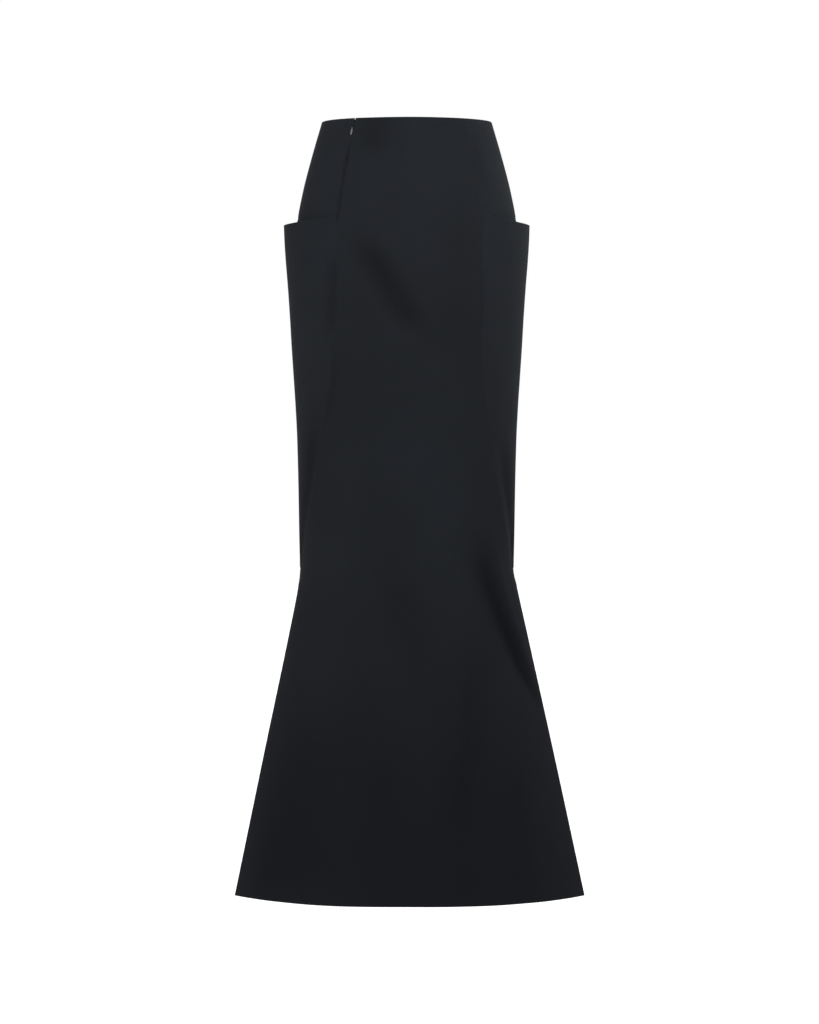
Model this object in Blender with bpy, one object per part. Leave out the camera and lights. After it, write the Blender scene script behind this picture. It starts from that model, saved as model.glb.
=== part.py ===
"""Long column skirt in its worn form.

It is fitted from the waist over the hips, with two standing hip panels whose top edges open
as side pockets, narrow to the knee, and flared from there to the hem.  +Z is up, the origin is
the centre of the waist, where the wearer holds the skirt, and the front faces -Y.  Sizes are in
metres.  A place on the cloth is given by its height and its turn around the body: 0 at the
centre front, 1 at the +X side, 2 at the centre back, and negative the other way round.
"""
import math
from functools import lru_cache

import bmesh
import bpy
import numpy as np
from mathutils import Matrix, Vector

WALL = 0.0018            # cloth, measured level
GAP = 0.0003             # between neighbouring pieces
WAIST = 0.0
KNEE = -0.6335           # the hip panels end and the flare starts
HEM = -1.090
TIP = -0.631             # lower point of a hip panel
MOUTH_SEAM = -0.132      # a pocket's edge at the princess seams
MOUTH_SIDE = -0.1455     # and half way between them
POCKET_FLOOR = -0.310    # lower end of a yoke, inside its hip panel
TUCK = -0.117            # where a yoke starts to sink behind its hip panel

ZIP_FOOT = -0.1975
ZIP_HEAD = -0.0025
SLIDER_HEIGHT = -0.0146  # its middle
COIL_HEAD = SLIDER_HEIGHT - 0.0055         # the coil stops under the slider
TAPE_WIDTH = 0.011       # one side
TAPE_WALL = 0.0006
TAPE_GAP = 0.0005        # behind the cloth, whose faces are flat between its columns
COIL_WALL = 0.0015
SLIDER_SIZE = (0.0068, 0.0086, 0.0026)     # across, along, through
BRIDGE_WALL = 0.0007
BRIDGE_RADIUS = 0.0013
BRIDGE_HOLE = 0.00075
PULL_STAND = 0.00135     # the pull's axis stands this far off the cloth
PULL_WALL = 0.0009
PULL_LENGTH = 0.0102
PULL_HALF_WIDTH = 0.0011                   # at its axis; it swells a little below

# The body of the skirt: half its width, its depth in front and behind, how far the section
# goes from an ellipse (0) to a lens with side corners (1), and its lean towards +X.
SECTIONS = np.array([
    # height, half_width, front, back, corner, lean
    (0.000, 0.1196, 0.081, 0.085, 0.00, 0.000),
    (-0.050, 0.1341, 0.092, 0.100, 0.00, 0.000),
    (-0.100, 0.1469, 0.102, 0.115, 0.00, 0.000),
    (-0.145, 0.1549, 0.108, 0.123, 0.00, 0.000),
    (-0.210, 0.1590, 0.112, 0.128, 0.00, 0.000),
    (-0.300, 0.1588, 0.112, 0.124, 0.00, 0.000),
    (-0.400, 0.1560, 0.109, 0.116, 0.00, 0.000),
    (-0.500, 0.1531, 0.104, 0.108, 0.05, 0.000),
    (-0.580, 0.1517, 0.1010, 0.1040, 0.20, 0.000),
    (KNEE, 0.1507, 0.1004, 0.1034, 0.33, 0.000),
    (-0.650, 0.1534, 0.1008, 0.1038, 0.38, 0.001),
    (-0.720, 0.1679, 0.1050, 0.1085, 0.55, 0.002),
    (-0.880, 0.2025, 0.1300, 0.1355, 0.85, 0.003),
    (HEM, 0.2470, 0.170, 0.176, 1.00, 0.004),
], dtype=[(name, float) for name in ("height", "half_width", "front", "back", "corner", "lean")])

# The princess seams, as a share of the way from the centre front or back to the side.
SEAM = np.array([
    # height, share
    (0.000, 0.510),
    (-0.100, 0.522),
    (-0.150, 0.510),
    (-0.340, 0.516),
    (-0.370, 0.535),
    (-0.420, 0.600),
    (-0.470, 0.662),
    (-0.520, 0.722),
    (-0.580, 0.830),
    (-0.610, 0.898),
    (TIP, 0.988),
    (KNEE, 1.000),
    (HEM, 1.000),
], dtype=[("height", float), ("share", float)])

# How far round the body the skirt has turned, towards +X in front.
TWIST = np.array([
    # height, twist
    (0.000, 0.039),
    (-0.100, 0.044),
    (-0.145, 0.028),
    (-0.240, 0.004),
    (-0.310, 0.000),
    (HEM, 0.000),
], dtype=[("height", float), ("twist", float)])

# How far a hip panel stands off the body of the skirt, half way between its seams.
STAND = np.array([
    # height, stand
    (MOUTH_SIDE, 0.0185),
    (-0.210, 0.0106),
    (-0.300, 0.0046),
    (-0.360, 0.0022),
    (-0.450, 0.0000),
    (TIP, 0.0000),
], dtype=[("height", float), ("stand", float)])

# The zip's seam opens a little round the slider and where the two sides meet at the top.
ZIP_MOUTH = np.array([
    # height, half_opening
    (0.000, 0.0010),
    (ZIP_HEAD, 0.0006),
    (-0.0080, 0.0004),
    (SLIDER_HEIGHT + 0.0025, 0.0007),
    (SLIDER_HEIGHT - 0.0030, 0.0007),
    (COIL_HEAD, 0.0000),
    (ZIP_FOOT, 0.0000),
], dtype=[("height", float), ("half_opening", float)])

# Heights that every piece crossing them has a row at, and the widest step between rows.
MARKS = (*ZIP_MOUTH["height"][:5], COIL_HEAD + 0.0005, COIL_HEAD, TUCK, MOUTH_SEAM, -0.160,
         ZIP_FOOT, POCKET_FLOOR, -0.385, TIP, KNEE, -0.650, HEM)
ROW_STEP = 0.03751

# Soft troughs in the cloth.  Each runs from a top to a foot, at a reach along the cloth from
# the centre front (or, with back 1, the centre back), and bows sideways on the way.
FOLDS = np.array([
    # back, top, top_reach, foot, foot_reach, bow, half_width, depth
    (0, -0.570, 0.104, -0.835, 0.235, -0.024, 0.017, 0.0075),    # from the +X knee to the side
    (0, -0.540, -0.030, -0.900, 0.010, 0.000, 0.050, 0.0060),    # hollow under the knees
    (0, -0.160, -0.072, -0.300, 0.020, 0.000, 0.020, 0.0040),    # from the -X hip inwards
    (0, -0.780, -0.120, -1.120, -0.190, 0.000, 0.040, 0.0050),   # flute of the flare
    (0, -0.800, 0.085, -1.120, 0.090, 0.000, 0.035, 0.0045),
    (1, -0.580, -0.110, -0.840, -0.220, 0.020, 0.020, 0.0065),   # drag behind the -X knee
    (1, -0.560, 0.030, -0.930, -0.010, 0.000, 0.055, 0.0060),
    (1, -0.790, 0.120, -1.120, 0.170, 0.000, 0.042, 0.0050),
], dtype=[("back", int)] + [(name, float) for name in (
    "top", "top_reach", "foot", "foot_reach", "bow", "half_width", "depth")])


def read(table, column, height):
    """A column of a table at a height, on a smooth curve that never overshoots its rows."""
    down, value = -table["height"], table[column]
    slope = np.diff(value) / np.diff(down)
    before, after = slope[:-1], slope[1:]
    turning = before * after <= 0
    inner = np.where(turning, 0.0, 2 * before * after / np.where(turning, 1.0, before + after))
    tangent = np.concatenate(([slope[0]], inner, [slope[-1]]))
    at = min(max(-height, down[0]), down[-1])
    i = int(np.clip(np.searchsorted(down, at, side="right") - 1, 0, len(down) - 2))
    span = down[i + 1] - down[i]
    t = (at - down[i]) / span
    return float(value[i] * (1 + 2 * t) * (1 - t) ** 2 + value[i + 1] * t * t * (3 - 2 * t)
                 + span * (tangent[i] * t * (1 - t) ** 2 - tangent[i + 1] * t * t * (1 - t)))


def ease(value, start, end):
    """0 at the start, 1 at the end, smooth between."""
    t = min(max((value - start) / (end - start), 0.0), 1.0)
    return t * t * (3 - 2 * t)


@lru_cache(maxsize=None)
def quarter(height, face):
    """A quarter of the section from its centre to the side: across, deep, and share of length."""
    corner = read(SECTIONS, "corner", height)
    angle = np.linspace(0, math.pi / 2, 400)
    across = read(SECTIONS, "half_width", height) * np.sin(angle) ** (2 / (2 + 0.8 * corner))
    deep = read(SECTIONS, face, height) * np.cos(angle) ** (2 / (2 - corner))
    length = np.concatenate(([0], np.cumsum(np.hypot(np.diff(across), np.diff(deep)))))
    return across, deep, length / length[-1], length[-1]


def on_body(height, turn):
    """The body's own turn, from -2 to 2, under a turn of the cloth."""
    return (turn + read(TWIST, "twist", height) + 2) % 4 - 2


def ring(height, turn):
    """The level point of the section at a turn."""
    turn = on_body(height, turn)
    side, around = math.copysign(1, turn), abs(turn)
    face, share = ("front", around) if around < 1 else ("back", 2 - around)
    across, deep, shares, _ = quarter(round(height, 6), face)
    y = np.interp(share, shares, deep)
    return Vector((side * np.interp(share, shares, across), -y if face == "front" else y))


def outward(height, turn):
    """The level direction out of the cloth; at a side corner, straight to the side."""
    along = ring(height, turn + 0.02) - ring(height, turn - 0.02)
    return Vector((along.y, -along.x)).normalized()


def trough(height, turn):
    """How deep the folds are at a place."""
    turn = on_body(height, turn)
    back = abs(turn) > 1
    share = 2 - abs(turn) if back else abs(turn)
    reach = math.copysign(share, turn) * quarter(round(height, 6), "back" if back else "front")[3]
    total = 0.0
    for fold in FOLDS:
        if bool(fold["back"]) != back:
            continue
        t = (height - fold["top"]) / (fold["foot"] - fold["top"])
        if not 0 < t < 1:
            continue
        centre = fold["top_reach"] + t * (fold["foot_reach"] - fold["top_reach"])
        centre += fold["bow"] * 4 * t * (1 - t)
        off = (reach - centre) / fold["half_width"]
        fade = ease(t, 0, 0.35) * ease(1 - t, 0, 0.30)
        total += fold["depth"] * fade * math.exp(-off * off)
    return total * ease(1 - share, 0.0, 0.12)


def place(height, turn, out=0.0):
    """The point of the skirt at a height and turn, moved out of the cloth's outer face."""
    point = ring(height, turn) + outward(height, turn) * (out - trough(height, turn))
    return Vector((point.x + read(SECTIONS, "lean", height), point.y, height))


def share_of(height, length, face="front"):
    """A length along the cloth, as a share of a quarter."""
    return length / quarter(round(height, 6), face)[3]


def seam(height):
    """A princess seam's share, and below the knee the side seam's."""
    return read(SEAM, "share", height)


def edge(height, zipped=False):
    """Half the gap at a seam, as a share of a quarter."""
    half = GAP / 2 + (read(ZIP_MOUTH, "half_opening", height) if zipped and height > ZIP_FOOT else 0)
    return share_of(height, half)


def levels(top, foot):
    """The heights of a piece's rows.  All pieces share them, so their seams match."""
    heights = [MARKS[0]]
    for upper, lower in zip(MARKS, MARKS[1:]):
        count = math.ceil((upper - lower) / ROW_STEP)
        heights += [upper + (lower - upper) * i / count for i in range(1, count + 1)]
    return [height for height in heights if foot <= height <= top]


def finish(name, mesh, material, sharp=35):
    """An object of a closed mesh, shaded round except at its sharp edges."""
    mesh.materials.append(material)
    mesh.shade_smooth()
    mesh.set_sharp_from_angle(angle=math.radians(sharp))
    item = bpy.data.objects.new(name, mesh)
    bpy.context.collection.objects.link(item)
    item.parent = skirt
    return item


def wall(name, heights, shares, at, material):
    """A closed piece of cloth.  at(height, share, inside) gives the points of both its faces."""
    form = bmesh.new()
    faces = [[[form.verts.new(at(height, share, inside)) for share in shares]
              for height in heights] for inside in (0, 1)]
    rows, columns = len(heights), len(shares)
    for outer, grid in enumerate(faces):
        for i in range(rows - 1):
            for j in range(columns - 1):
                ring_of = [grid[i][j], grid[i + 1][j], grid[i + 1][j + 1], grid[i][j + 1]]
                form.faces.new(ring_of if outer == 0 else ring_of[::-1])
    rim = ([(0, j) for j in range(columns)] + [(i, columns - 1) for i in range(1, rows)]
           + [(rows - 1, j) for j in range(columns - 2, -1, -1)]
           + [(i, 0) for i in range(rows - 2, 0, -1)])
    for (i, j), (k, l) in zip(rim, rim[1:] + rim[:1]):
        form.faces.new([faces[0][i][j], faces[0][k][l], faces[1][k][l], faces[1][i][j]])
    bmesh.ops.recalc_face_normals(form, faces=form.faces)
    mesh = bpy.data.meshes.new(name)
    form.to_mesh(mesh)
    form.free()
    return finish(name, mesh, material)


def material(name, colour, roughness, metallic=0.0):
    made = bpy.data.materials.new(name)
    made.use_nodes = True
    shader = made.node_tree.nodes["Principled BSDF"]
    shader.inputs["Base Color"].default_value = (*colour, 1)
    shader.inputs["Roughness"].default_value = roughness
    shader.inputs["Metallic"].default_value = metallic
    return made


def even(count):
    return [i / count for i in range(count + 1)]


# ---- cloth ----
def centre_panel(name, back, material_used):
    """The front or back, from one princess or side seam to the other."""
    def at(height, share, inside):
        left = seam(height) - edge(height, zipped=not back)
        right = seam(height) - edge(height)
        turn = -left + (left + right) * share
        return place(height, 2 - turn if back else turn, -WALL * inside)
    heights = [h for h in levels(WAIST, HEM) if not (back and COIL_HEAD < h < WAIST)]
    return wall(name, heights, even(18), at, material_used)


def mouth(share):
    """The height of a pocket's edge at a share of the way round the side."""
    return MOUTH_SEAM + (MOUTH_SIDE - MOUTH_SEAM) * math.sin(math.pi * share) ** 0.7


def rise(share):
    """How a hip panel springs from its seams to its middle."""
    return math.sin(math.pi * share) ** 2


def across_side(height, share, side, zipped=False):
    """The turn at a share of the way round a side, from the front seam to the back one."""
    first = seam(height) + edge(height, zipped)
    last = 2 - seam(height) - edge(height)
    return side * (first + (last - first) * share)


def hip_panel(name, side, material_used):
    """Stands off the yoke at its top edge and narrows to a point at the knee."""
    def at(height, share, inside):
        if height == MOUTH_SEAM:
            height = mouth(share)
        off = read(STAND, "stand", height) * rise(share)
        return place(height, across_side(height, share, side), off - WALL * inside)
    return wall(name, levels(MOUTH_SEAM, TIP), even(12), at, material_used)


def under(height, share):
    """How far a yoke has sunk behind the hip panel's face, which starts at the pocket's edge."""
    edge_at = mouth(share)
    return ease(-height, MOUTH_SEAM - TUCK - edge_at, -edge_at) * (WALL + GAP)


def yoke_set(height, share):
    """A yoke's outer face: level with the front, then behind the hip panel, which it meets."""
    meets = ease(-height, 0.240, -POCKET_FLOOR)
    return meets * read(STAND, "stand", height) * rise(share) - under(height, share)


def yoke(name, side, material_used):
    """Fitted side of the hip, and the inner layer of the pocket."""
    zipped = side < 0

    def at(height, share, inside):
        return place(height, across_side(height, share, side, zipped),
                     yoke_set(height, share) - WALL * inside)
    return wall(name, levels(WAIST, POCKET_FLOOR), even(12), at, material_used)


# ---- zip, in the princess seam on the -X side ----
def zip_tape(name, toward, material_used):
    """A tape behind one side of the seam, thicker along its coil.  toward: -1 front, 1 yoke."""
    def at(height, share, inside):
        off_seam = edge(height, zipped=True) + share_of(height, TAPE_WIDTH * share)
        depth = WALL + TAPE_GAP + (under(height, 0) if toward > 0 else 0.0)
        coil = share < 0.13 and height <= COIL_HEAD
        thick = COIL_WALL if coil else TAPE_WALL
        return place(height, -(seam(height) + toward * off_seam), -depth - thick * inside)
    return wall(name, levels(ZIP_HEAD, ZIP_FOOT), [0, 0.12, 0.17, 0.6, 1], at, material_used)


def seam_frame(height):
    """Axes on the zip's seam: across it (towards +X), out of the cloth, and up along it."""
    here = place(height, -seam(height))
    up = (place(height + 0.004, -seam(height + 0.004))
          - place(height - 0.004, -seam(height - 0.004))).normalized()
    level = outward(height, -seam(height))
    across = up.cross(Vector((level.x, level.y, 0))).normalized()
    if across.x < 0:
        across = -across
    out = across.cross(up).normalized()
    if out.y > 0:
        out = -out
    return here, across, out, up


def set_at(item, here, across, out, up):
    """Stands an object whose X runs across, Y into the cloth and Z up the seam."""
    turn = Matrix((across, -out, up)).transposed().to_quaternion()
    item.location, item.rotation_euler = here, turn.to_euler()


def block(form, size, centre):
    """A box added to a form."""
    at = Matrix.Translation(centre) @ Matrix.Diagonal((*size, 1))
    return bmesh.ops.create_cube(form, size=1, matrix=at)["verts"]


def drum(form, radius, length, centre, sides=16):
    """A round bar along X added to a form."""
    at = Matrix.Translation(centre) @ Matrix.Rotation(math.pi / 2, 4, "Y")
    return bmesh.ops.create_cone(form, cap_ends=True, segments=sides, radius1=radius,
                                 radius2=radius, depth=length, matrix=at)["verts"]


def cutter(name, form, used_by, operation="DIFFERENCE"):
    """Turns a form into a hidden guide that cuts or joins another object."""
    mesh = bpy.data.meshes.new(name)
    form.to_mesh(mesh)
    form.free()
    guide = bpy.data.objects.new(name, mesh)
    bpy.context.collection.objects.link(guide)
    guide.hide_render, guide.display_type = True, "WIRE"
    guide.location, guide.rotation_euler = used_by.location, used_by.rotation_euler
    cut = used_by.modifiers.new(name, "BOOLEAN")
    cut.operation, cut.object, cut.solver = operation, guide, "EXACT"
    return guide


def zip_slider(material_used):
    """A body behind the seam, and a bridge through it that the pull hangs from."""
    across, along, through = SLIDER_SIZE
    behind = WALL + TAPE_GAP + TAPE_WALL + GAP
    form = bmesh.new()
    block(form, (across, through, along), (0, behind + through / 2, 0))
    bmesh.ops.bevel(form, geom=form.edges[:], offset=0.0006, segments=2, affect="EDGES")
    mesh = bpy.data.meshes.new("zip_slider")
    form.to_mesh(mesh)
    form.free()
    item = finish("zip_slider", mesh, material_used)
    set_at(item, *seam_frame(SLIDER_HEIGHT))
    neck = bmesh.new()
    block(neck, (BRIDGE_WALL, behind + 0.0004 + PULL_STAND, 0.0016),
          (0, (behind + 0.0004 - PULL_STAND) / 2, 0))
    cutter("slider_neck", neck, item, "UNION")
    eye = bmesh.new()
    drum(eye, BRIDGE_RADIUS, BRIDGE_WALL + 0.0001, (0, -PULL_STAND, 0), 24)
    cutter("slider_eye", eye, item, "UNION")
    hole = bmesh.new()
    drum(hole, BRIDGE_HOLE, 0.004, (0, -PULL_STAND, 0))
    cutter("slider_hole", hole, item)
    return item


def pull_half_width(down):
    """Half the pull's width at a distance below its axis: a slim drop."""
    t = down / PULL_LENGTH
    return PULL_HALF_WIDTH * (1 + 0.3 * math.sin(math.pi * max(t, 0)) ** 2 * (0.4 + 0.9 * t))


def zip_pull(material_used):
    """A drop-shaped plate whose top bar lies in the slider's eye; its origin is on the axis."""
    top, tail = -0.00042, PULL_LENGTH - 0.0016
    side = [(pull_half_width(d), -d) for d in np.linspace(top, tail, 12)]
    wide = side[-1][0]
    tip = [(wide * math.cos(a), -tail - 0.0016 * math.sin(a))
           for a in np.linspace(0, math.pi, 11)[1:-1]]
    outline = side + tip + [(-x, z) for x, z in side[::-1]]
    form = bmesh.new()
    flat = form.faces.new([form.verts.new((x, -PULL_WALL / 2, z)) for x, z in outline])
    grown = bmesh.ops.extrude_face_region(form, geom=[flat])["geom"]
    bmesh.ops.translate(form, vec=(0, PULL_WALL, 0),
                        verts=[v for v in grown if isinstance(v, bmesh.types.BMVert)])
    bmesh.ops.recalc_face_normals(form, faces=form.faces)
    mesh = bpy.data.meshes.new("zip_pull")
    form.to_mesh(mesh)
    form.free()
    item = finish("zip_pull", mesh, material_used)
    here, across, out, up = seam_frame(SLIDER_HEIGHT)
    set_at(item, here + out * PULL_STAND, across, out, up)
    slot = bmesh.new()
    block(slot, (BRIDGE_WALL + 0.0006, 0.004, 0.0016), (0, 0, -0.0004 - 0.0008))
    cutter("pull_slot", slot, item)
    return item


for item in list(bpy.data.objects):
    bpy.data.objects.remove(item, do_unlink=True)
skirt = bpy.data.objects.new("skirt", None)
bpy.context.collection.objects.link(skirt)

cloth = material("black_cloth", (0.016, 0.017, 0.020), 0.85)
tape = material("zip_tape", (0.012, 0.012, 0.014), 0.80)
metal = material("zip_metal", (0.55, 0.55, 0.57), 0.30, 1.0)

centre_panel("front_panel", False, cloth)
centre_panel("back_panel", True, cloth)
for label, side in (("left", 1), ("right", -1)):          # the wearer's own sides
    hip_panel(f"hip_panel_{label}", side, cloth)
    yoke(f"yoke_{label}", side, cloth)
zip_tape("zip_tape_front", -1, tape)
zip_tape("zip_tape_side", 1, tape)
zip_slider(metal)
zip_pull(metal)
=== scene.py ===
"""Looks of the long column skirt: its cloth, zip, light and camera, around the fixed frame.

Sizes are in metres.  A place on the cloth is given by its height and its turn around the body:
0 at the centre front, 1 at the +X side, 2 at the centre back, and negative the other way round.
"""
import math

import bpy
import numpy as np
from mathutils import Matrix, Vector


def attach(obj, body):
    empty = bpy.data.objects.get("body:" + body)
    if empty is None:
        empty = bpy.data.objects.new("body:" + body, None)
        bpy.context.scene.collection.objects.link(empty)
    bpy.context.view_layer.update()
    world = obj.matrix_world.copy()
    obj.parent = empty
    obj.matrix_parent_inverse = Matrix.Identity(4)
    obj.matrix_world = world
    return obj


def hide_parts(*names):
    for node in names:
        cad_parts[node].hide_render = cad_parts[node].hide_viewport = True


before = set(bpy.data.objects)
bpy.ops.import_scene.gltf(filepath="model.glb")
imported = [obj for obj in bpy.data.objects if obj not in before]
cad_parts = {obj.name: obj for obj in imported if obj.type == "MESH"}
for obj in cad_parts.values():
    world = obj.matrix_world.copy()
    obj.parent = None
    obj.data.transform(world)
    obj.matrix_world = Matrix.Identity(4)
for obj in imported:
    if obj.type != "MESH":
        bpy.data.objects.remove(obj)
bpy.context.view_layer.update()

# ---- driving sizes, the same as the solids' ----
WALL = 0.0018            # two layers of cloth, as at a turned edge
GAP = 0.0003             # between neighbouring solids
KNEE = -0.6335           # the hip panels end and the flare starts
HEM = -1.090
TIP = -0.631             # lower point of a hip panel
MOUTH_SEAM = -0.132      # a pocket's edge at the princess seams
MOUTH_SIDE = -0.1455     # and half way between them
POCKET_FLOOR = -0.310    # lower end of a yoke, inside its hip panel
TUCK = -0.117            # where a yoke starts to sink behind its hip panel
ZIP_FOOT = -0.1975
ZIP_HEAD = -0.0025
SLIDER_HEIGHT = -0.0146
COIL_HEAD = SLIDER_HEIGHT - 0.0055         # the coil stops under the slider
TAPE_WIDTH = 0.011       # one side
TAPE_GAP = 0.0005        # behind the cloth

# ---- sizes of what only shows ----
CLOTH = 0.0009           # one layer
SEAM_GAP = 0.000012      # between two pieces sewn together
SEAM_ROLL = 0.0005       # how the cloth rounds into a seam
SEAM_TURNING = 0.012     # cloth turned in behind a seam
WAIST_TURNING = 0.022
MOUTH_TURNING = 0.025
HEM_TURNING = 0.032
MOUTH_LIP = 0.004        # how far a yoke stands out again along the pocket's edge
MOUTH_PAINTED_BAND = 0.006       # how far from that edge painted light and painted shade reach
PUCKER = 0.00012         # unevenness beside a seam
PRESSED = 0.0022         # reach of a pressed edge
TIP_OVERLAP = 0.008      # a hip panel's end, which goes in behind its neighbours
TIP_SINK = 0.0022
TAPE_WALL = 0.0004
COIL_PITCH = 0.0011
COIL_THREAD = 0.00024    # radius
COIL_MIDDLE = 0.0010     # off the tape's edge
COIL_HALF = (0.0008, 0.0004)               # across the tape, and through it
METAL_EDGE = 0.00016     # rounding of the slider and the pull
CELL = 0.0055            # the cloth meshes' usual step

# ---- periods of the weave and the stitches ----
TWILL = 0.00072
WEFT = 0.00043
SERGING = (0.0011, 0.0016)                 # off the raw edge, and along it
SERGED_WIDTH = 0.0042
HERRINGBONE = 0.0018
TAPE_RIB = 0.0009


def table(names, *rows):
    """Rows of numbers under named columns."""
    return np.array([tuple(row) for row in rows], dtype=[(name, float) for name in names.split()])


# The body of the skirt: half its width, its depth in front and behind, how far the section
# goes from an ellipse (0) to a lens with side corners (1), and its lean towards +X.
SECTIONS = table(
    "height half_width front back corner lean",
    (0.000, 0.1196, 0.081, 0.085, 0.00, 0.000),
    (-0.050, 0.1341, 0.092, 0.100, 0.00, 0.000),
    (-0.100, 0.1469, 0.102, 0.115, 0.00, 0.000),
    (-0.145, 0.1549, 0.108, 0.123, 0.00, 0.000),
    (-0.210, 0.1590, 0.112, 0.128, 0.00, 0.000),
    (-0.300, 0.1588, 0.112, 0.124, 0.00, 0.000),
    (-0.400, 0.1560, 0.109, 0.116, 0.00, 0.000),
    (-0.500, 0.1531, 0.104, 0.108, 0.05, 0.000),
    (-0.580, 0.1517, 0.1010, 0.1040, 0.20, 0.000),
    (KNEE, 0.1507, 0.1004, 0.1034, 0.33, 0.000),
    (-0.650, 0.1534, 0.1008, 0.1038, 0.38, 0.001),
    (-0.720, 0.1679, 0.1050, 0.1085, 0.55, 0.002),
    (-0.880, 0.2025, 0.1300, 0.1355, 0.85, 0.003),
    (HEM, 0.2470, 0.170, 0.176, 1.00, 0.004))

# The princess seams, as a share of the way from the centre front or back to the side.
SEAM = table(
    "height share",
    (0.000, 0.510), (-0.100, 0.522), (-0.150, 0.510), (-0.340, 0.516), (-0.370, 0.535),
    (-0.420, 0.600), (-0.470, 0.662), (-0.520, 0.722), (-0.580, 0.830), (-0.610, 0.898),
    (TIP, 0.988), (KNEE, 1.000), (HEM, 1.000))

# How far round the body the skirt has turned, towards +X in front.
TWIST = table(
    "height twist",
    (0.000, 0.039), (-0.100, 0.044), (-0.145, 0.028), (-0.240, 0.004), (-0.310, 0.000), (HEM, 0.000))

# How far a hip panel stands off the body of the skirt, half way between its seams.
STAND = table(
    "height stand",
    (MOUTH_SIDE, 0.0185), (-0.210, 0.0106), (-0.300, 0.0046), (-0.360, 0.0022), (-0.450, 0.0),
    (TIP, 0.0))

# Painted light: how much lighter the hip panels' colour is made than the front, by which way each one turns
# to the light.
PAINTED_LIGHT = table(
    "height minus plus",
    (MOUTH_SEAM, 0.08, 0.34),
    (-0.250, 0.14, 0.28),
    (-0.380, 0.20, 0.28),
    (-0.470, 0.14, 0.12),
    (TIP, 0.08, -0.05))

# The zip's seam opens a little round the slider and where the two sides meet at the top.
ZIP_MOUTH = table(
    "height half_opening",
    (0.0, 0.0010), (ZIP_HEAD, 0.0006), (-0.0060, 0.0001), (SLIDER_HEIGHT + 0.0022, 0.0001),
    (SLIDER_HEIGHT + 0.0012, 0.0005), (SLIDER_HEIGHT - 0.0014, 0.0005), (SLIDER_HEIGHT - 0.0024, 0.0),
    (ZIP_FOOT, 0.0))

# Troughs in the cloth.  Each runs from a top to a foot, at a reach along the cloth from the
# centre front (or, with back 1, the centre back), and bows sideways on the way.  Its two
# walls, towards -X and towards +X, have widths of their own, and its shadow, from 0 to 1,
# is painted shade that darkens the cloth's colour in it, or below 0 painted light that
# lightens it.  Rows with no depth are only painted shade or painted light.
FOLDS = table(
    "back top top_reach foot foot_reach bow minus_width plus_width depth shadow",
    (0, -0.550, 0.104, -0.850, 0.249, -0.026, 0.029, 0.013, 0.0100, 0.90),    # knee to side
    (0, -0.590, 0.137, -0.800, 0.222, -0.021, 0.007, 0.013, -0.0034, 0.06),   # its ridge
    (0, -0.460, -0.056, -0.810, 0.022, 0.000, 0.034, 0.042, 0.0062, 0.30),    # under the knees
    (0, -0.370, 0.040, -0.700, 0.080, 0.000, 0.065, 0.060, -0.0012, -0.28),   # over the knees
    (0, -0.390, -0.085, -0.700, -0.095, 0.000, 0.040, 0.040, -0.0010, -0.22),
    (0, -0.320, 0.005, -0.860, 0.005, 0.000, 0.090, 0.090, 0.0000, -0.20),    # thighs to shins
    (0, -0.500, -0.120, -0.960, -0.135, 0.000, 0.045, 0.045, 0.0000, -0.26),  # beside the knee
    (0, -0.152, -0.080, -0.314, 0.017, 0.004, 0.021, 0.024, 0.0076, 0.70),    # hip inwards
    (0, -0.255, -0.004, -0.350, 0.045, 0.000, 0.016, 0.024, 0.0026, 0.10),    # and its end
    (0, -0.740, -0.120, -1.140, -0.205, 0.000, 0.060, 0.055, 0.0050, 0.48),   # flutes of the flare
    (0, -0.720, 0.093, -1.000, 0.070, 0.002, 0.012, 0.022, 0.0030, 0.26),
    (0, -0.850, 0.060, -1.130, 0.085, 0.000, 0.030, 0.042, 0.0045, 0.27),
    (0, -0.860, 0.150, -1.160, 0.175, 0.000, 0.040, 0.022, 0.0036, 0.24),
    (0, -0.820, 0.020, -1.300, 0.020, 0.000, 0.200, 0.200, 0.0000, 0.14),     # the hem
    (0, -0.830, -0.235, -1.300, -0.290, 0.000, 0.045, 0.045, 0.0000, 0.30),
    (0, -0.800, -0.060, -1.180, -0.010, 0.000, 0.050, 0.045, 0.0028, 0.28),
    (0, 0.060, -0.052, -0.070, -0.044, 0.000, 0.020, 0.036, 0.0010, 0.45),    # by the zip's top
    (0, -0.080, 0.070, -0.380, 0.085, 0.000, 0.045, 0.040, 0.0000, 0.17),     # the hip
    (1, -0.580, -0.110, -0.840, -0.220, 0.020, 0.013, 0.030, 0.0090, 0.80),
    (1, -0.560, 0.030, -0.930, -0.010, 0.000, 0.046, 0.052, 0.0060, 0.28),
    (1, -0.160, 0.080, -0.320, -0.010, -0.006, 0.024, 0.014, 0.0060, 0.50),
    (1, -0.790, 0.120, -1.120, 0.170, 0.000, 0.046, 0.038, 0.0050, 0.22),
    (1, -0.750, -0.070, -0.940, -0.058, 0.000, 0.024, 0.013, 0.0034, 0.26),
    (1, -0.860, -0.060, -1.150, -0.085, 0.000, 0.026, 0.034, 0.0036, 0.20))
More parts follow.
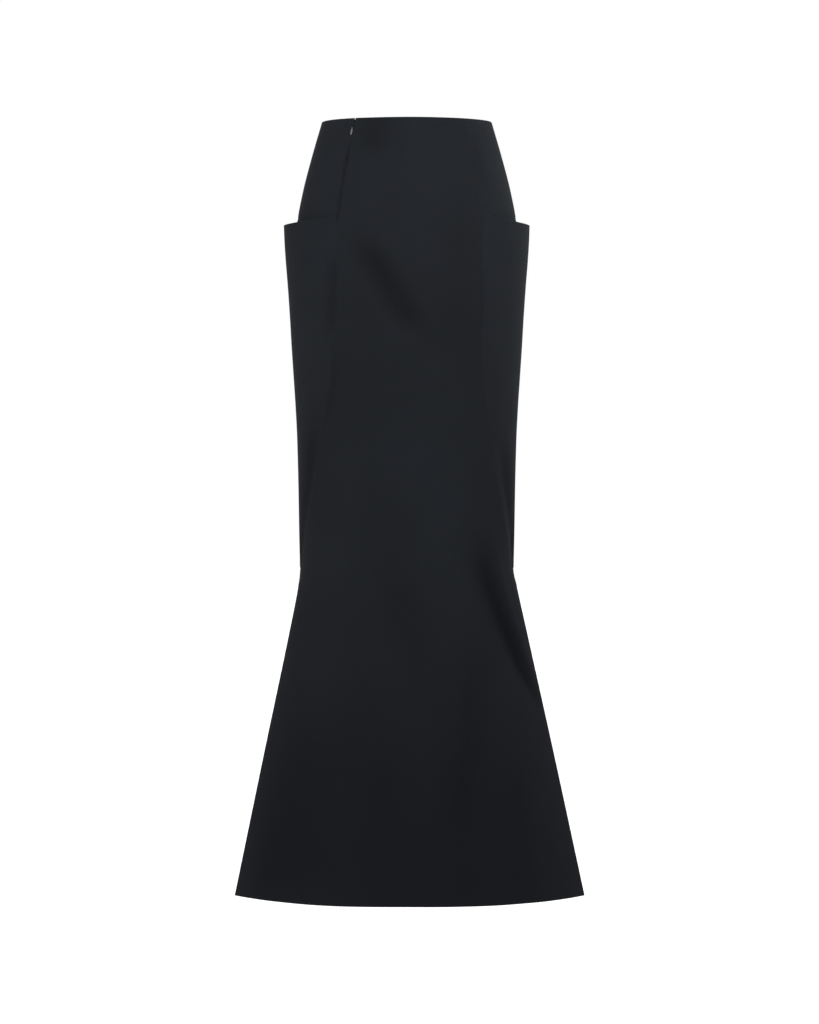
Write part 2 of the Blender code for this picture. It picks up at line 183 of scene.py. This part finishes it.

# Troughs that follow a seam, off it towards the side (or, below 0, towards the centre).
# Their shadow is painted shade in the cloth's colour along the seam, as in FOLDS.
BESIDE = table(
    "back side top foot off half_width depth shadow",
    (0, -1, -0.175, -0.325, 0.001, 0.0080, 0.0030, 0.50),
    (0, -1, -0.300, -0.450, -0.006, 0.0070, 0.0012, 0.26),
    (0, -1, -0.385, -0.665, 0.012, 0.0150, 0.0030, 0.85),
    (0, 1, -0.430, -0.655, 0.017, 0.0150, 0.0040, 0.75),
    (0, -1, -0.500, -0.690, -0.003, 0.0060, 0.0002, 0.30),
    (0, 1, -0.480, -0.700, -0.004, 0.0100, 0.0002, 0.32),
    (0, -1, -0.018, -0.075, 0.000, 0.0022, 0.0006, 0.50),
    (0, -1, -0.045, -0.085, 0.000, 0.0026, 0.0008, 0.60),
    (0, -1, -0.066, -0.118, 0.000, 0.0022, 0.0006, 0.70),
    (0, -1, -0.100, -0.150, 0.000, 0.0026, 0.0008, 0.80),
    (0, 1, -0.020, -0.110, 0.000, 0.0090, 0.0012, 0.30),
    (0, 1, -0.205, -0.300, 0.000, 0.0035, 0.0012, 0.40),
    (1, -1, -0.440, -0.630, 0.011, 0.0120, 0.0045, 0.50),
    (1, 1, -0.400, -0.620, 0.010, 0.0100, 0.0040, 0.45),
    (1, 1, -0.160, -0.290, 0.001, 0.0070, 0.0018, 0.36))


# ---- the form of the cloth ----
def read(rows, column, height):
    """A column of a table at heights, on a smooth curve that never overshoots its rows."""
    down, value = -rows["height"], rows[column]
    slope = np.diff(value) / np.diff(down)
    before, after = slope[:-1], slope[1:]
    turning = before * after <= 0
    inner = np.where(turning, 0.0, 2 * before * after / np.where(turning, 1.0, before + after))
    tangent = np.concatenate(([slope[0]], inner, [slope[-1]]))
    at = np.clip(-np.asarray(height, float), down[0], down[-1])
    i = np.clip(np.searchsorted(down, at, side="right") - 1, 0, len(down) - 2)
    span = down[i + 1] - down[i]
    t = (at - down[i]) / span
    return (value[i] * (1 + 2 * t) * (1 - t) ** 2 + value[i + 1] * t * t * (3 - 2 * t)
            + span * (tangent[i] * t * (1 - t) ** 2 - tangent[i + 1] * t * t * (1 - t)))


def ease(value, start, end):
    """0 at the start, 1 at the end, smooth between."""
    t = np.clip((value - start) / (end - start), 0.0, 1.0)
    return t * t * (3 - 2 * t)


LEVEL_STEP = 0.00125
LEVELS = -LEVEL_STEP * np.arange(round(-HEM / LEVEL_STEP) + 1)
SHARES = np.linspace(0, 1, 241)


def quarters(face):
    """Every level's section from its centre to the side, at even shares of its length."""
    angle = np.linspace(0, math.pi / 2, 400)
    across, deep, lengths = [], [], []
    for height in LEVELS:
        corner = read(SECTIONS, "corner", height)
        x = read(SECTIONS, "half_width", height) * np.sin(angle) ** (2 / (2 + 0.8 * corner))
        y = read(SECTIONS, face, height) * np.cos(angle) ** (2 / (2 - corner))
        along = np.concatenate(([0], np.cumsum(np.hypot(np.diff(x), np.diff(y)))))
        across.append(np.interp(SHARES, along / along[-1], x))
        deep.append(np.interp(SHARES, along / along[-1], y))
        lengths.append(along[-1])
    return np.array(across), np.array(deep), np.array(lengths)


FRONT, BACK = quarters("front"), quarters("back")


def between(grid, height, share):
    """A grid of levels by shares, read anywhere between its entries."""
    i = np.clip(-height / LEVEL_STEP, 0, len(LEVELS) - 1.001)
    j = np.clip(share * (len(SHARES) - 1), 0, len(SHARES) - 1.001)
    a, b = i.astype(int), j.astype(int)
    i, j = i - a, j - b
    return ((grid[a, b] * (1 - i) + grid[a + 1, b] * i) * (1 - j)
            + (grid[a, b + 1] * (1 - i) + grid[a + 1, b + 1] * i) * j)


def quarter_length(height, back):
    """The length of the section from its centre to the side."""
    front = np.interp(-height, -LEVELS, FRONT[2])
    return np.where(back, np.interp(-height, -LEVELS, BACK[2]), front)


def folded(height, turn, twisted=True):
    """Whether a turn is behind, its share of the way to the side, and its side's sign, all
    round the body, or round the skirt itself where it isn't twisted."""
    turn = (turn + twisted * read(TWIST, "twist", height) + 2) % 4 - 2
    around = np.abs(turn)
    back = around > 1
    return back, np.where(back, 2 - around, around), np.where(turn < 0, -1.0, 1.0)


def ring(height, turn):
    """The level point of the section at a turn."""
    back, share, side = folded(height, turn)
    x = np.where(back, between(BACK[0], height, share), between(FRONT[0], height, share))
    y = np.where(back, between(BACK[1], height, share), -between(FRONT[1], height, share))
    return np.stack((side * x, y), -1)


def outward(height, turn):
    """The level direction out of the cloth; at a side corner, straight to the side."""
    along = ring(height, turn + 0.02) - ring(height, turn - 0.02)
    level = np.stack((along[..., 1], -along[..., 0]), -1)
    return level / np.linalg.norm(level, axis=-1, keepdims=True)


def seam(height):
    """A princess seam's share, and below the knee the side seam's."""
    return read(SEAM, "share", height)


def folds(height, turn, column):
    """The folds' depths, or their shadows, added up at a place."""
    total = np.zeros(np.shape(turn))
    for twisted, rows in ((True, FOLDS), (False, BESIDE)):
        back, share, side = folded(height, turn, twisted)
        size = quarter_length(height, back)
        for fold in rows:
            t = (height - fold["top"]) / (fold["foot"] - fold["top"])
            if twisted:
                centre = fold["top_reach"] + t * (fold["foot_reach"] - fold["top_reach"])
                off = side * share * size - centre - fold["bow"] * 4 * t * (1 - t)
                off = off / np.where(off < 0, fold["minus_width"], fold["plus_width"])
                near = (back == bool(fold["back"])) * ease(1 - share, 0.0, 0.12)
            else:
                off = (share - seam(height)) * size - fold["off"] * ease(1 - seam(height), 0, 0.15)
                off = off / fold["half_width"]
                near = (back == bool(fold["back"])) * (side == fold["side"]) * ease(1 - share, 0.0, 0.05)
            total += fold[column] * near * ease(t, 0, 0.35) * ease(1 - t, 0, 0.30) * np.exp(-off * off)
    return total


def drift(height, turn):
    """The slight unevenness of cloth that hangs."""
    back, share, side = folded(height, turn)
    reach = side * share * quarter_length(height, back) + 0.7 * back
    return (0.00030 * np.sin(31 * reach + 9 * height + 1.3) * np.sin(17 * height + 0.7)
            + 0.00022 * np.sin(52 * reach - 23 * height) * np.sin(38 * height + 11 * reach + 2.0)
            + 0.00012 * np.sin(97 * reach + 71 * height + 0.4)
            + 0.00010 * np.sin(163 * height - 61 * reach + 1.1)) * ease(1 - share, 0.0, 0.15)


def place(height, turn, out=0.0):
    """Points of the skirt at heights and turns, moved out of the cloth's outer face."""
    height, turn = np.broadcast_arrays(np.asarray(height, float), np.asarray(turn, float))
    out = out + drift(height, turn) - folds(height, turn, "depth")
    level = ring(height, turn) + outward(height, turn) * out[..., None]
    return np.stack((level[..., 0] + read(SECTIONS, "lean", height), level[..., 1], height), -1)


def edge(height, zipped=False):
    """Half the gap at a seam, as a share of a quarter."""
    half = SEAM_GAP / 2
    if zipped:
        half = half + np.where(height > ZIP_FOOT, read(ZIP_MOUTH, "half_opening", height), 0)
    return half / quarter_length(height, False)


# ---- meshes ----
SEWN = (0.0, 0.00015, 0.0004, 0.0007, 0.0013, 0.0025, 0.0045, 0.0075)    # columns beside a seam
CREASED = (0.0, 0.00006, 0.0002, 0.00045, 0.0009, 0.0016, 0.003)    # rows beside a turned edge


def step(width):
    """The pair of lines where a turning of a width ends."""
    return width - 0.0003, width + 0.0003


def spaced(length, first, last, cell=CELL):
    """Distances along lengths: those listed from each end, and even steps between them."""
    length = np.atleast_1d(length)[:, None]
    first, last = np.array(sorted(first)), np.array(sorted(last))
    shrink = np.minimum(1, length / (2.4 * max(first[-1], last[-1])))
    start, end = first * shrink, length - last[::-1] * shrink
    count = math.ceil(float(np.max(end[:, 0] - start[:, -1])) / cell)
    middle = start[:, -1:] + (end[:, :1] - start[:, -1:]) * (np.arange(1, count) / count)
    return np.concatenate((start, middle, end), axis=1)


def roll(distance, radius):
    """How far a face has rounded away at a distance from its edge."""
    near = radius - np.clip(distance, 0, radius)
    return radius - np.sqrt(np.maximum(radius ** 2 - near ** 2, 0))


def closed(name, outer, inner, marks, sharp=38):
    """A closed mesh between an outer and an inner grid of points.  marks holds what each
    grid's points carry: two-column ones become maps, the others plain numbers."""
    rows, columns = outer.shape[:2]
    index = np.arange(rows * columns).reshape(rows, columns)
    quads = np.stack((index[:-1, :-1], index[1:, :-1], index[1:, 1:], index[:-1, 1:]), -1).reshape(-1, 4)
    rim = np.concatenate((index[0, :-1], index[:-1, -1], index[-1, :0:-1], index[:0:-1, 0]))
    after = np.roll(rim, -1)
    back = rows * columns
    faces = np.concatenate((quads, quads[:, ::-1] + back,
                            np.stack((rim, after, after + back, rim + back), -1)))
    mesh = bpy.data.meshes.new(name)
    points = np.concatenate((outer.reshape(-1, 3), inner.reshape(-1, 3)))
    mesh.from_pydata(points.tolist(), [], faces.tolist())
    corner = np.empty(len(mesh.loops), np.int32)
    mesh.loops.foreach_get("vertex_index", corner)
    for mark, (front, behind) in marks.items():
        both = np.concatenate([np.broadcast_to(m, outer.shape[:2] + np.shape(m)[2:]).reshape(back, -1)
                               for m in (front, behind)])
        if both.shape[1] == 2:
            mesh.uv_layers.new(name=mark).data.foreach_set("uv", both[corner].astype(np.float32).ravel())
        else:
            mesh.attributes.new(mark, "FLOAT", "POINT").data.foreach_set(
                "value", both.astype(np.float32).ravel())
    mesh.shade_smooth()
    mesh.set_sharp_from_angle(angle=math.radians(sharp))
    item = bpy.data.objects.new(name, mesh)
    bpy.context.collection.objects.link(item)
    return item


FAR = 9.0                # further than any edge


def cloth(name, height, turn, out, along, sewn, creased, turned, free, nap_and_painted_light=0.0):
    """A piece of cloth on the skirt's form, all given as grids: its height and turn, how far
    it stands out, its distance along the cloth, its distances from sewn and from creased
    edges, how far it is doubled (0 or 1), and the distance inside a turning's free edge.
    nap_and_painted_light is painted light: how much lighter the cloth's colour is made there, or below 0
    painted shade."""
    grids = [np.broadcast_to(grid, height.shape)
             for grid in (height, turn, out, along, sewn, creased, turned, free, nap_and_painted_light)]
    if turn[0, 0] > turn[0, -1]:
        grids = [grid[:, ::-1] for grid in grids]
    height, turn, out, along, sewn, creased, turned, free, nap_and_painted_light = grids
    pucker = PUCKER * np.exp(-sewn / 0.006) * (np.sin(height * 610 + 2 * np.sin(height * 171))
                                               + np.sin(height * 397 + 3))
    pucker = pucker * ease(sewn, 0.0, 0.001)
    setback = np.maximum(roll(creased, CLOTH), roll(sewn, SEAM_ROLL))
    thick = CLOTH * (1 + turned) - roll(creased, CLOTH * 0.94)
    outer = place(height, turn, out + pucker - setback)
    inner = place(height, turn, out - thick)
    pressed = np.exp(-np.minimum(creased, sewn * 1.6) / PRESSED)
    grain = np.stack((along, height), -1)
    # painted shade in the folds and seams, less each piece's painted light (or plus its painted shade); it
    # darkens or lightens the colour
    shadow = np.clip(folds(height, turn, "shadow") - nap_and_painted_light, -0.4, 1)
    return closed(name, outer, inner, {
        "grain": (grain, grain + (3.0, 0.0)), "shadow": (shadow, shadow),
        "pressed": (pressed, pressed), "free": (0.0 * height + FAR, free)})


def centre(name, back):
    """The front or back, from one princess or side seam to the other."""
    rows = spaced(-HEM, CREASED + step(WAIST_TURNING), CREASED + step(HEM_TURNING))[0]
    height = -rows[:, None]
    size = quarter_length(height, back)
    left = (seam(height) - edge(height, zipped=not back)) * size
    right = (seam(height) - edge(height)) * size
    along = spaced((left + right)[:, 0], SEWN + step(SEAM_TURNING), SEWN + step(SEAM_TURNING)) - left
    height = height + 0 * along
    turn = along / size
    sewn = np.minimum(along + left, right - along)
    creased = np.minimum(-height, height - HEM)
    inside_by = np.maximum.reduce((SEAM_TURNING - sewn, WAIST_TURNING + height, HEM_TURNING - height + HEM))
    return cloth(name, height, 2 + turn if back else turn, 0.0, along, sewn, creased,
                 inside_by > 0, inside_by)


def mouth(share):
    """The height of a pocket's edge at a share of the way round the side."""
    return MOUTH_SEAM + (MOUTH_SIDE - MOUTH_SEAM) * np.sin(math.pi * share) ** 0.7


def rise(share):
    """How a hip panel springs from its seams to its middle."""
    return np.sin(math.pi * share) ** 2


def side_grid(top, foot, first, last, zipped=False):
    """Heights, shares of the way round the side, lengths and sizes of a side piece."""
    rows = spaced(top - foot, first, last)[0]
    height = top - rows[:, None]
    seam_share = np.minimum(seam(height), seam(TIP))
    start = seam_share + edge(height, zipped)
    end = 2 - seam_share - edge(height)
    length = (1 - start) * quarter_length(height, False) + (end - 1) * quarter_length(height, True)
    along = spaced(length[:, 0], SEWN + step(SEAM_TURNING), SEWN + step(SEAM_TURNING))
    share = along / length
    return height + 0 * along, share, start + (end - start) * share, along - length / 2, length / 2


def hip_panel(name, side):
    """Stands off the yoke at its top edge and narrows to a point at the knee, where its very
    end goes in behind the front and the back."""
    height, share, turn, along, half = side_grid(
        MOUTH_SEAM, TIP - TIP_OVERLAP, CREASED + step(MOUTH_TURNING), 0.002 * np.arange(7))
    down = MOUTH_SEAM - height
    height = height + (mouth(share) - MOUTH_SEAM) * (1 - ease(down, 0, 0.07))
    sewn = half - np.abs(along)
    inside_by = np.maximum(SEAM_TURNING - sewn, MOUTH_TURNING - down)
    sink = TIP_SINK * ease(-height, -TIP - 0.004, -TIP + 0.001)
    out = read(STAND, "stand", height) * rise(share) - sink
    # painted light on the panel by which way it turns to the light, less painted shade along the pocket's
    # edge that dims the edge's highlight
    nap_and_painted_light = read(PAINTED_LIGHT, "plus" if side > 0 else "minus", height) - 0.30 * np.exp(-(down / MOUTH_PAINTED_BAND) ** 2)
    return cloth(name, height, side * turn, out, along, sewn, down, inside_by > 0, inside_by, nap_and_painted_light)


def under(height, share):
    """How far a yoke has sunk behind the hip panel's face, from just above the pocket's edge."""
    edge_at = mouth(share)
    return ease(-height, MOUTH_SEAM - TUCK - edge_at, -edge_at) * (WALL + GAP)


def yoke(name, side):
    """Fitted side of the hip, and the inner layer of the pocket."""
    height, share, turn, along, half = side_grid(
        0.0, POCKET_FLOOR, CREASED + step(WAIST_TURNING), (0.0, 0.001, 0.003), zipped=side < 0)
    meets = ease(-height, 0.240, -POCKET_FLOOR)
    lip = MOUTH_LIP * rise(share) * np.exp(-((height - mouth(share) + 0.002) / 0.007) ** 2)
    out = meets * read(STAND, "stand", height) * rise(share) - under(height, share) + lip
    sewn = half - np.abs(along)
    inside_by = np.maximum(SEAM_TURNING - sewn, WAIST_TURNING + height)
    from_mouth = height - mouth(share) - 0.001
    # painted light: more on the +X yoke, which turns to the light, and a band just above the pocket's edge
    # lightened against the shade the hip panel casts there
    nap_and_painted_light = (0.18 if side > 0 else 0.06) + 0.30 * np.exp(-(from_mouth / MOUTH_PAINTED_BAND) ** 2)
    return cloth(name, height, side * turn, out, along, sewn, -height, inside_by > 0, inside_by, nap_and_painted_light)


def zip_tape(name, toward):
    """A woven tape behind one side of the zip's seam.  toward: -1 front, 1 yoke."""
    height = (ZIP_HEAD - spaced(ZIP_HEAD - ZIP_FOOT, (0.0, 0.001), (0.0, 0.001), 0.003)[0])[:, None]
    along = TAPE_WIDTH * np.linspace(0, 1, 12)[None, :]
    height, along = np.broadcast_arrays(height, along)
    size = quarter_length(height, False)
    turn = -(seam(height) + toward * (edge(height, zipped=True) + along / size))
    depth = WALL + TAPE_GAP + (under(height, 0.0) if toward > 0 else 0.0)
    if turn[0, 0] > turn[0, -1]:
        height, along, turn = height[:, ::-1], along[:, ::-1], turn[:, ::-1]
    grain = np.stack((along, height), -1)
    return closed(name, place(height, turn, -depth), place(height, turn, -depth - TAPE_WALL),
                  {"grain": (grain, grain + (1.0, 0.0))})


def tube(name, points, radius, sides=6):
    """A closed round thread along points."""
    ahead = np.gradient(points, axis=0)
    ahead /= np.linalg.norm(ahead, axis=1, keepdims=True)
    side = np.cross(ahead, (0.31, 0.21, 0.93))
    side /= np.linalg.norm(side, axis=1, keepdims=True)
    up = np.cross(ahead, side)
    angle = np.linspace(0, 2 * math.pi, sides, endpoint=False)[None, :, None]
    rings = points[:, None] + radius * (side[:, None] * np.cos(angle) + up[:, None] * np.sin(angle))
    index = np.arange(len(points) * sides).reshape(-1, sides)
    turned = np.roll(index, -1, axis=1)
    faces = np.stack((index[:-1], turned[:-1], turned[1:], index[1:]), -1).reshape(-1, 4).tolist()
    faces += [index[0, ::-1].tolist(), index[-1].tolist()]
    mesh = bpy.data.meshes.new(name)
    mesh.from_pydata(rings.reshape(-1, 3).tolist(), [], faces)
    mesh.shade_smooth()
    mesh.set_sharp_from_angle(angle=math.radians(60))
    item = bpy.data.objects.new(name, mesh)
    bpy.context.collection.objects.link(item)
    return item


def zip_coil(name, toward):
    """The wound thread along one tape's edge, on its inner side."""
    turns = int((COIL_HEAD - ZIP_FOOT) / COIL_PITCH)
    wound = np.linspace(0, turns, 12 * turns + 1)
    height = COIL_HEAD - wound * COIL_PITCH
    angle = 2 * math.pi * wound + (math.pi if toward > 0 else 0)
    off = COIL_MIDDLE + COIL_HALF[0] * np.cos(angle)
    depth = WALL + TAPE_GAP + TAPE_WALL + 0.0006 - COIL_HALF[1] * np.sin(angle)
    if toward > 0:
        depth = depth + under(height, 0.0)
    return tube(name, place(height, -(seam(height) + toward * off / quarter_length(height, False)),
                            -depth), COIL_THREAD)


# ---- finishes ----
class Wire:
    """A number that changes over a surface.  Arithmetic on it adds Math nodes."""

    def __init__(self, finish, socket):
        self.finish, self.socket = finish, socket

    def maths(self, operation, *values):
        return self.finish.node("Math", {"operation": operation},
                                {i: value for i, value in enumerate(values)})

    def __add__(self, other):
        return self.maths("ADD", self, other)

    def __sub__(self, other):
        return self.maths("SUBTRACT", self, other)

    def __rsub__(self, other):
        return self.maths("SUBTRACT", other, self)

    def __mul__(self, other):
        return self.maths("MULTIPLY", self, other)

    __radd__, __rmul__ = __add__, __mul__

    def wave(self, period):
        """0 to 1 and back over a period."""
        return self.maths("SINE", self * (2 * math.pi / period)) * 0.5 + 0.5

    def within(self, low, high):
        """1 inside a range, 0 outside it."""
        return self.maths("GREATER_THAN", self, low) * self.maths("LESS_THAN", self, high)


class Finish:
    """A material, and the one way that its nodes are added."""

    def __init__(self, name, **constants):
        self.material = bpy.data.materials.new(name)
        self.material.use_nodes = True
        self.tree = self.material.node_tree
        self.shader = self.tree.nodes["Principled BSDF"]
        for socket, value in constants.items():
            self.shader.inputs[socket.replace("_", " ")].default_value = value

    def node(self, kind, settings=None, values=None, output=0):
        """Adds a node of a type with its settings, then the values or links of its sockets."""
        made = self.tree.nodes.new("ShaderNode" + kind)
        for setting, value in (settings or {}).items():
            setattr(made, setting, value)
        for socket, value in (values or {}).items():
            if isinstance(value, Wire):
                self.tree.links.new(value.socket, made.inputs[socket])
            else:
                made.inputs[socket].default_value = value
        return Wire(self, made.outputs[output])

    def put(self, socket, value):
        """Feeds one of the shader's sockets."""
        self.tree.links.new(value.socket, self.shader.inputs[socket])

    def map(self, name):
        """A map's vector, and its two numbers."""
        vector = self.node("UVMap", {"uv_map": name})
        return vector, *(self.node("SeparateXYZ", {}, {0: vector}, output) for output in (0, 1))

    def carried(self, name):
        """A number that the mesh carries."""
        return self.node("Attribute", {"attribute_name": name}, output="Fac")

    def noise(self, vector, scale, detail=2.0, roughness=0.5):
        return self.node("TexNoise", {}, {"Vector": vector, "Scale": scale, "Detail": detail,
                                          "Roughness": roughness})

    def mix(self, amount, low, high):
        """A colour between two."""
        return self.node("Mix", {"data_type": "RGBA"}, {0: amount, 6: low, 7: high}, 2)

    def bump(self, height, distance, strength=1.0):
        self.put("Normal", self.node("Bump", {}, {"Height": height, "Distance": distance,
                                                  "Strength": strength}))


def shade(red, green, blue, times=1.0):
    return red * times, green * times, blue * times, 1.0


BLACK = (0.0088, 0.0100, 0.0122)


def black_cloth():
    """Matt close-woven cloth: a fine twill, an uneven nap and pressed edges, with painted shade and painted
    light from the mesh's shadow.
    """
    made = Finish("black_cloth", Specular_IOR_Level=0.04, Sheen_Weight=0.012, Sheen_Roughness=0.45,
                  Sheen_Tint=(0.85, 0.92, 1.0, 1.0))
    vector, across, up = made.map("grain")
    shadow, pressed, free = (made.carried(name) for name in ("shadow", "pressed", "free"))
    twill = (across + up * 0.62).wave(TWILL)
    weft = (up + across * 0.08).wave(WEFT)
    yarn = made.noise(vector, 2600.0, 2.0)
    slub = made.noise(vector, 420.0, 3.0)
    # an uneven nap, lighter and darker at random; no painted light here
    nap_and_painted_light = made.noise(vector, 11.0, 4.0, 0.55)
    patch = made.noise(vector, 3.1, 2.0)
    serged = free.within(0.0, SERGED_WIDTH)
    thread = free.wave(SERGING[0]) * 0.6 + (up + across).wave(SERGING[1]) * 0.4
    tone = 0.42 + nap_and_painted_light * 0.26 + patch * 0.20 + (slub - 0.5) * 0.16 + (twill - 0.5) * 0.05
    # shadow is painted shade in the folds and beside the seams, and painted light where it is below 0
    tone = tone + pressed * 0.10 + serged * thread * 0.45 - shadow * 0.42
    made.put("Base Color", made.mix(tone, shade(*BLACK, 0.35), shade(*BLACK, 1.35)))
    made.put("Roughness", 0.93 - pressed * 0.22 + (nap_and_painted_light - 0.5) * 0.10 - serged * 0.25)
    relief = twill * 0.5 + weft * 0.2 + yarn * 0.35 + slub * 0.5
    made.bump(relief * (1 - serged * 0.6) + serged * thread * 4.0, 0.00005, 0.7)
    return made.material


def tape_cloth():
    """Black woven polyester tape with a herringbone."""
    made = Finish("zip_tape", Specular_IOR_Level=0.25, Sheen_Weight=0.02)
    vector, across, up = made.map("grain")
    zigzag = made.node("Math", {"operation": "PINGPONG"}, {0: across, 1: HERRINGBONE})
    rib = (up + zigzag * 1.1).wave(TAPE_RIB)
    fuzz = made.noise(vector, 1500.0)
    made.put("Base Color", made.mix(rib * 0.6 + fuzz * 0.4, shade(0.009, 0.009, 0.010),
                                    shade(0.020, 0.020, 0.022)))
    made.put("Roughness", 0.62 + fuzz * 0.25)
    made.bump(rib + fuzz * 0.4, 0.00008)
    return made.material


def coil_nylon():
    """Black nylon thread with a dull shine."""
    made = Finish("coil_nylon", Specular_IOR_Level=0.4)
    spot = made.noise(made.node("TexCoord", {}, output="Object"), 900.0)
    made.put("Base Color", made.mix(spot, shade(0.008, 0.008, 0.009), shade(0.016, 0.016, 0.018)))
    made.put("Roughness", 0.30 + spot * 0.22)
    return made.material


def nickel():
    """Worn nickel plate: fine scratches, duller hollows."""
    made = Finish("zip_metal", Metallic=1.0)
    at = made.node("TexCoord", {}, output="Object")
    streak = made.noise(made.node("Mapping", {}, {"Vector": at, "Scale": (3.0, 3.0, 0.35)}), 2600.0, 3.0)
    cloud = made.noise(at, 420.0, 3.0)
    made.put("Base Color", made.mix(cloud * 0.7 + streak * 0.3, shade(0.050, 0.050, 0.054),
                                    shade(0.10, 0.10, 0.105)))
    made.put("Roughness", 0.26 + cloud * 0.16 + streak * 0.12)
    made.bump(streak, 0.00002, 0.5)
    return made.material


# ---- the pieces ----
def dress(item, node, finish):
    """A new piece in a node's place, on the skirt's own body."""
    item.data.materials.append(finish)
    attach(item, "skirt")
    if node:
        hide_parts(node)
    return item


black, tape, nylon, metal = black_cloth(), tape_cloth(), coil_nylon(), nickel()

dress(centre("front_cloth", False), "front_panel", black)
dress(centre("back_cloth", True), "back_panel", black)
for label, side in (("left", 1), ("right", -1)):          # the wearer's own sides
    dress(hip_panel(f"hip_cloth_{label}", side), f"hip_panel_{label}", black)
    dress(yoke(f"yoke_cloth_{label}", side), f"yoke_{label}", black)
for label, toward in (("front", -1), ("side", 1)):
    ribbon = dress(zip_tape(f"tape_{label}", toward), f"zip_tape_{label}", tape)
    wound = dress(zip_coil(f"coil_{label}", toward), None, nylon)

for node in ("zip_slider", "zip_pull"):
    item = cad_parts[node]
    item.data.materials.clear()
    item.data.materials.append(metal)
    rounded = item.modifiers.new("rounded", "BEVEL")
    rounded.width, rounded.segments = METAL_EDGE, 2
    rounded.limit_method, rounded.angle_limit = "ANGLE", math.radians(40)


# ---- room, light and camera ----
def floor(height, reach, glow):
    """A plain white floor that goes on past the view and glows, its glow fading to a painted shadow close
    to the skirt.
    """
    mesh = bpy.data.meshes.new("floor")
    turns = np.linspace(0, 2 * math.pi, 128, endpoint=False)
    mesh.from_pydata([(reach * math.cos(a), reach * math.sin(a), 0) for a in turns],
                     [], [tuple(range(len(turns)))])
    item = bpy.data.objects.new("floor", mesh)
    bpy.context.collection.objects.link(item)
    item.location.z = height
    made = Finish("glowing_floor", Roughness=0.9, Specular_IOR_Level=0.1, Emission_Strength=glow)
    at = made.node("TexCoord", {}, output="Object")
    away = made.node("VectorMath", {"operation": "LENGTH"}, {0: at}, "Value")
    # the floor's glow, fading to a painted shadow under the skirt
    glow_and_painted_shadow = made.node("MapRange", {"interpolation_type": "SMOOTHSTEP"},
                    {"Value": away, "From Min": 0.3, "From Max": 1.05, "To Min": 0.32, "To Max": 1.0})
    made.put("Base Color", made.mix(made.noise(at, 0.8), shade(0.72, 0.72, 0.72), shade(0.76, 0.76, 0.76)))
    made.put("Emission Color", made.mix(glow_and_painted_shadow, shade(0, 0, 0), shade(1, 1, 1)))
    mesh.materials.append(made.material)


def softbox(name, at, toward, size, power):
    """A rectangular lamp turned towards a point."""
    lamp = bpy.data.lights.new(name, "AREA")
    lamp.shape, lamp.size, lamp.size_y, lamp.energy = "RECTANGLE", *size, power
    item = bpy.data.objects.new(name, lamp)
    bpy.context.collection.objects.link(item)
    item.location = at
    item.rotation_euler = (Vector(toward) - Vector(at)).to_track_quat("-Z", "Y").to_euler()
    return item


def room(horizon, ceiling):
    """White walls all round under a darker ceiling."""
    world = bpy.data.worlds.new("white_room")
    world.use_nodes = True
    tree = world.node_tree
    at, parts = tree.nodes.new("ShaderNodeTexCoord"), tree.nodes.new("ShaderNodeSeparateXYZ")
    ramp = tree.nodes.new("ShaderNodeValToRGB")
    tree.links.new(at.outputs["Generated"], parts.inputs[0])
    tree.links.new(parts.outputs["Z"], ramp.inputs[0])
    low, high = ramp.color_ramp.elements
    low.position, low.color = 0.16, shade(horizon, horizon, horizon)
    high.position, high.color = 0.54, shade(ceiling, ceiling, ceiling)
    tree.links.new(ramp.outputs[0], tree.nodes["Background"].inputs["Color"])
    bpy.context.scene.world = world


floor(-1.40, 40.0, 1.15)
softbox("key", (0.3, -0.9, 0.6), (0.0, 0.0, -0.05), (0.9, 0.6), 8.5)
softbox("front_left", (-0.8, -0.95, 0.3), (0.0, 0.0, -0.2), (0.6, 0.9), 10.2)
softbox("front_right", (0.64, -0.35, 0.1), (0.13, -0.02, -0.2), (0.25, 0.35), 1.7)
softbox("rim_right", (0.66, 0.24, 0.1), (0.14, 0.0, -0.2), (0.25, 0.3), 2.6)
softbox("rim_left", (-1.1, 0.4, -0.05), (-0.14, 0.0, -0.25), (0.4, 0.6), 1.6)
softbox("back", (-0.2, 1.1, 0.8), (0.0, 0.1, -0.15), (0.9, 0.6), 8.0)
room(1.0, 0.0)
bpy.context.scene.view_settings.view_transform = "Standard"

camera = bpy.data.objects.new("camera", bpy.data.cameras.new("camera"))
bpy.context.collection.objects.link(camera)
camera.location = (0.0038, -5.6, -0.5493)
camera.rotation_euler = (math.pi / 2, 0, 0)
camera.data.sensor_width, camera.data.lens = 36.0, 139.64
camera.data.clip_end = 100
bpy.context.scene.camera = camera
